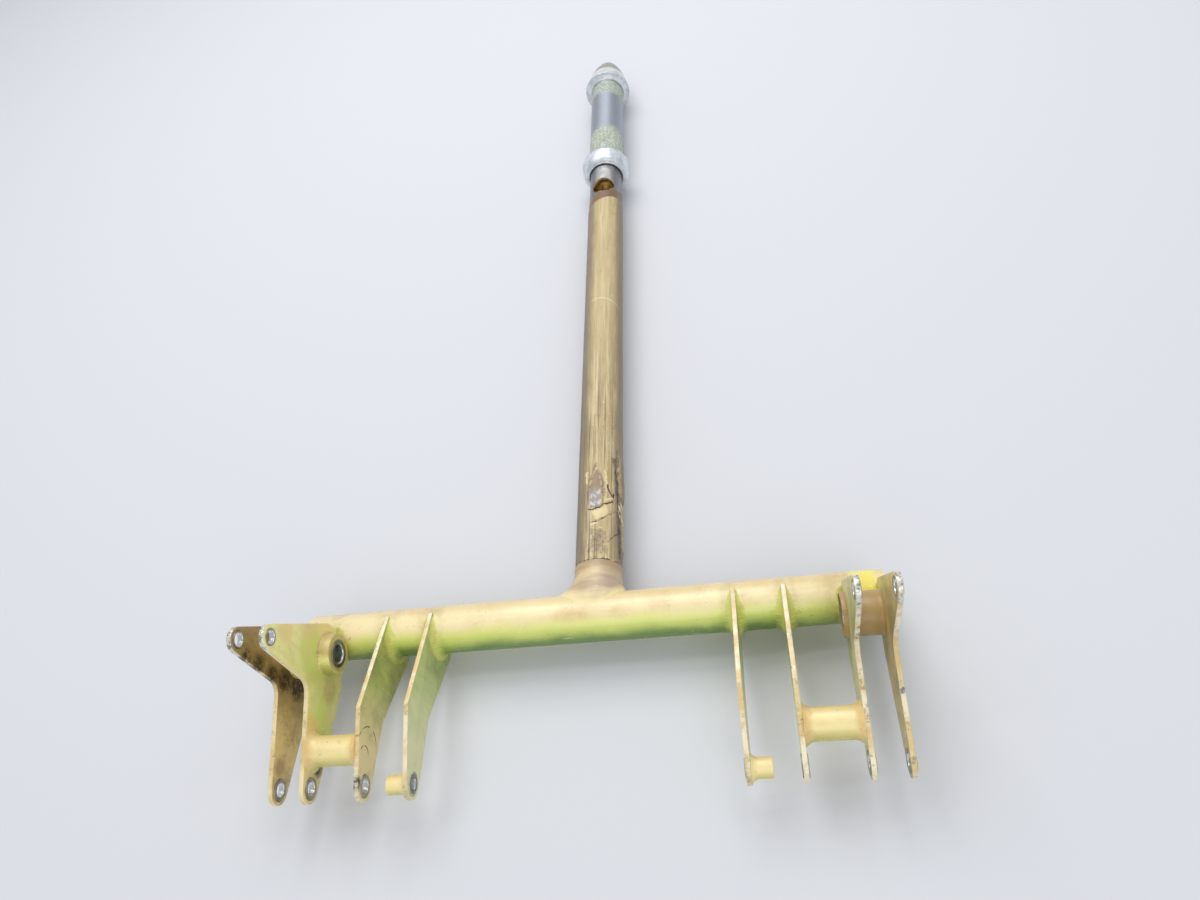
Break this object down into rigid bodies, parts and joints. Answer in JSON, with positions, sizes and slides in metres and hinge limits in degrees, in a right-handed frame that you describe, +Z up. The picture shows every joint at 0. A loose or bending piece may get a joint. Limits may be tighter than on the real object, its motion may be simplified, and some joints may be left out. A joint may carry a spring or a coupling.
{
  "type": "landing gear retraction lever",
  "caption": "Welded hand lever: a cross tube with paired bellcranks and drive arms, and a long arm with a spring-loaded sliding metal grip and pointed nose.",
  "frame": {"origin": "middle of the object's underside, on the surface it lies on", "axes": "+X along the torque tube, +Y along the lever towards the grip's nose, +Z up through the horns"},
  "size_m": [0.3094, 0.6432, 0.0965],
  "materials": {
    "cream_paint": "aged satin cream paint over primer",
    "primer_paint": "yellow-green primer, worn at the edges",
    "bush_steel": "machined steel",
    "dark_steel": "darkened steel",
    "turned_aluminium": "turned, satin, lightly corroded",
    "worn_wrap": "cracked, worn brown varnished wrap",
    "brass": "satin"
  },
  "bodies": {
    "weldment": {"torque_tube": "cream_paint", "lever_tube": "dark_steel", "lever_weld_collar": "cream_paint", "lever_sleeve": "worn_wrap", "bellcrank_left_outer": "primer_paint", "bellcrank_left_inner": "primer_paint", "drive_arm_left_outer": "primer_paint", "drive_arm_left_inner": "primer_paint", "cross_spacer_left": "cream_paint", "stub_bush_left": "cream_paint", "pivot_sleeve_left": "cream_paint", "pivot_bush_left_inner": "bush_steel", "pivot_bush_left_outer": "bush_steel", "horn_bush_left_inner": "bush_steel", "horn_bush_left_outer": "bush_steel", "tip_bush_left_inner": "bush_steel", "tip_bush_left_outer": "bush_steel", "tip_bush_left_arm": "bush_steel", "plug_rivet_left": "dark_steel", "bellcrank_right_outer": "primer_paint", "bellcrank_right_inner": "primer_paint", "drive_arm_right_outer": "primer_paint", "drive_arm_right_inner": "primer_paint", "cross_spacer_right": "cream_paint", "stub_bush_right": "cream_paint", "pivot_sleeve_right": "cream_paint", "pivot_bush_right_inner": "bush_steel", "pivot_bush_right_outer": "bush_steel", "horn_bush_right_inner": "bush_steel", "horn_bush_right_outer": "bush_steel", "tip_bush_right_inner": "bush_steel", "tip_bush_right_outer": "bush_steel", "tip_bush_right_arm": "bush_steel", "plug_rivet_right": "dark_steel", "spring_plug": "brass", "return_spring": "dark_steel"},
    "grip": {"grip_body": "turned_aluminium", "grip_nose": "turned_aluminium", "grip_rod": "dark_steel", "stop_washer": "dark_steel", "stop_nut": "dark_steel", "stop_pin": "dark_steel"}
  },
  "joints": [
    {"name": "grip_slide", "type": "slide", "parent": "weldment", "child": "grip", "axis": [0, -1, 0], "range_m": [0, 0.0254], "stiffness_N_per_m": 900, "springref_m": -0.02, "deforming": ["return_spring"]}
  ]
}
